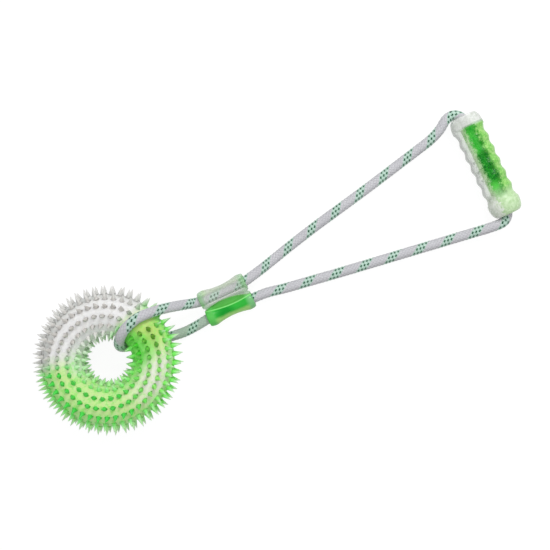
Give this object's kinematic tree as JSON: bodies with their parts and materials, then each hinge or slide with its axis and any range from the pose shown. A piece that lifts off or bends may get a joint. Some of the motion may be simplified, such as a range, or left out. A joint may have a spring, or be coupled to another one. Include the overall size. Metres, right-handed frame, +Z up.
{
  "type": "ring tug toy",
  "caption": "Rubber tug toy for dogs: a hollow spiked ring in the loop of a braided rope, a sleeve that gathers its strands, and a rippled handle that turns on the rope.",
  "frame": {"origin": "on the surface that the toy lies on, under the middle of its length and width", "axes": "+X along the toy from the ring to the handle, +Z up from the surface, +Y to the side of the handle's upper end"},
  "size_m": [0.5241, 0.1502, 0.0634],
  "materials": {
    "ring_clear_rubber": "glossy translucent",
    "ring_green_rubber": "glossy translucent",
    "handle_rubber": "glossy translucent",
    "core_green": "satin translucent",
    "sleeve_rubber": "glossy translucent",
    "rope_braid": "woven braid",
    "ferrule_film": "satin"
  },
  "bodies": {
    "rope": {"rope": "rope_braid", "rope_ferrule": "ferrule_film"},
    "handle": {"handle_grip": "handle_rubber", "handle_core_tube": "core_green"},
    "sleeve": {"sleeve": "sleeve_rubber"},
    "ring": {"ring_upper_shell": "ring_clear_rubber", "ring_lower_shell": "ring_green_rubber"}
  },
  "joints": [
    {"name": "handle_spin", "type": "hinge", "parent": "rope", "child": "handle", "pos_m": [0.2432, -0.0021, 0.01625], "axis": [0.0366, 0.9993, 0], "continuous": true},
    {"name": "sleeve_slide", "type": "slide", "parent": "rope", "child": "sleeve", "axis": [0.9986, -0.0523, 0], "range_m": [-0.008, 0.008], "deforming": ["rope"]},
    {"name": "ring_spin", "type": "hinge", "parent": "rope", "child": "ring", "pos_m": [-0.1877, 0, 0.03027], "axis": [-0.0344, 0, 0.9994], "continuous": true, "deforming": ["rope"]}
  ]
}
